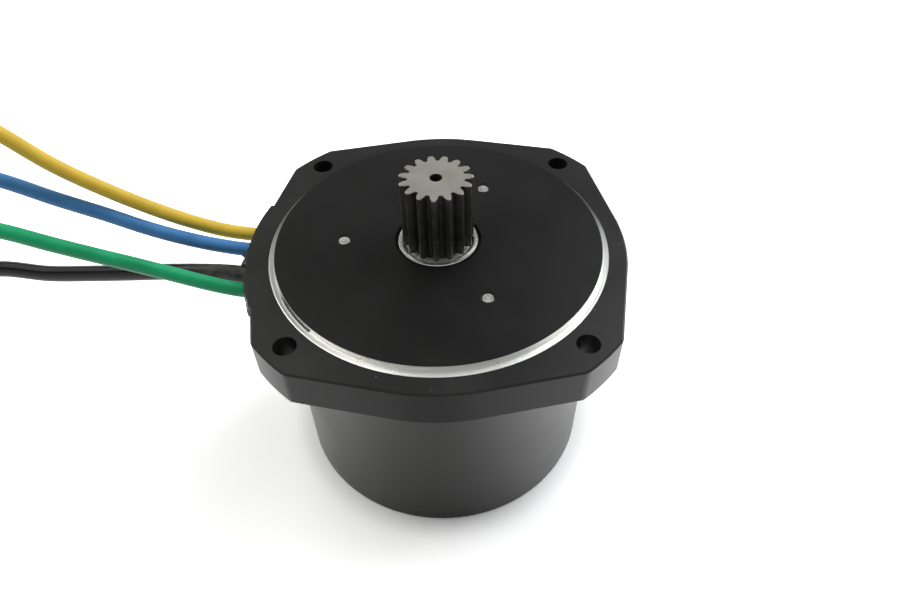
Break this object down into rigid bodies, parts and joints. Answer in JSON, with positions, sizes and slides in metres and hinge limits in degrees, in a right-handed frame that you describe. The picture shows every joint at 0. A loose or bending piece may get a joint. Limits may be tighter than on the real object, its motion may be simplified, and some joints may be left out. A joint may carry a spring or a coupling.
{
  "type": "mid-drive motor",
  "caption": "Flanged electric motor with a steel toothed pinion, pilot boss, corner bolt holes, closed can and side leads, for driving a bicycle's gear housing.",
  "frame": {"origin": "shaft axis at the mounting face of the front end cover", "axes": "+Z along the shaft, towards the pinion; +X away from the lead exit"},
  "size_m": [0.2748, 0.0896, 0.1024],
  "materials": {
    "black_anodised": "satin black anodised, bare where turned",
    "can_black": "satin dark grey",
    "pinion_steel": "hardened, dark flanks, ground end",
    "bright_steel": "ground",
    "bearing_steel": "ground",
    "lamination": "stacked sheet",
    "magnet": "nickel plated",
    "band_black": "wound fibre band",
    "brass": "turned",
    "copper": "enamelled copper",
    "insulator": "moulded",
    "board_green": "solder mask",
    "chip_black": "moulded",
    "rubber_black": "matt",
    "sealant": "rough cured sealant",
    "lead_yellow": "silicone",
    "lead_blue": "silicone",
    "lead_green": "silicone",
    "cable_black": "satin jacket",
    "plug_black": "moulded",
    "gold": "gold plated"
  },
  "bodies": {
    "housing": {"end_cover": "black_anodised", "motor_can": "can_black", "cover_seal": "rubber_black", "stator_core": "lamination", "front_insulator": "insulator", "rear_insulator": "insulator", "winding_u": "copper", "winding_v": "copper", "winding_w": "copper", "phase_splices": "brass", "hall_board": "board_green", "hall_sensors": "chip_black", "hall_wires": "cable_black", "bearing_retainer": "bright_steel", "retainer_screws": "bright_steel", "front_bearing_outer": "bearing_steel", "front_bearing_seals": "rubber_black", "rear_bearing_outer": "bearing_steel", "rear_bearing_seals": "rubber_black", "wave_washer": "bright_steel", "lead_seal": "sealant", "lead_yellow": "lead_yellow", "lead_blue": "lead_blue", "lead_green": "lead_green", "hall_cable": "cable_black", "bullet_yellow": "gold", "bullet_blue": "gold", "bullet_green": "gold", "sleeve_yellow": "lead_yellow", "sleeve_blue": "lead_blue", "sleeve_green": "lead_green", "hall_plug": "plug_black", "hall_pins": "gold"},
    "rotor": {"pinion_shaft": "pinion_steel", "shaft_collar": "bright_steel", "front_bearing_inner": "bearing_steel", "rear_bearing_inner": "bearing_steel", "rotor_core": "lamination", "rotor_magnets": "magnet", "magnet_band": "band_black", "rotor_front_disc": "brass", "rotor_rear_disc": "brass"},
    "front_ball_set": {"front_bearing_balls": "bearing_steel", "front_bearing_cage": "brass"},
    "rear_ball_set": {"rear_bearing_balls": "bearing_steel", "rear_bearing_cage": "brass"}
  },
  "joints": [
    {"name": "rotor_spin", "type": "hinge", "parent": "housing", "child": "rotor", "pos_m": [0, 0, 0], "axis": [0, 0, 1], "continuous": true},
    {"name": "front_balls_orbit", "type": "hinge", "parent": "housing", "child": "front_ball_set", "pos_m": [0, 0, -0.0054], "axis": [0, 0, 1], "continuous": true},
    {"name": "rear_balls_orbit", "type": "hinge", "parent": "housing", "child": "rear_ball_set", "pos_m": [0, 0, -0.0553], "axis": [0, 0, 1], "continuous": true}
  ],
  "couplings": [
    {"joint": "front_balls_orbit", "follows": "rotor_spin", "ratio": 0.41},
    {"joint": "rear_balls_orbit", "follows": "rotor_spin", "ratio": 0.41}
  ]
}
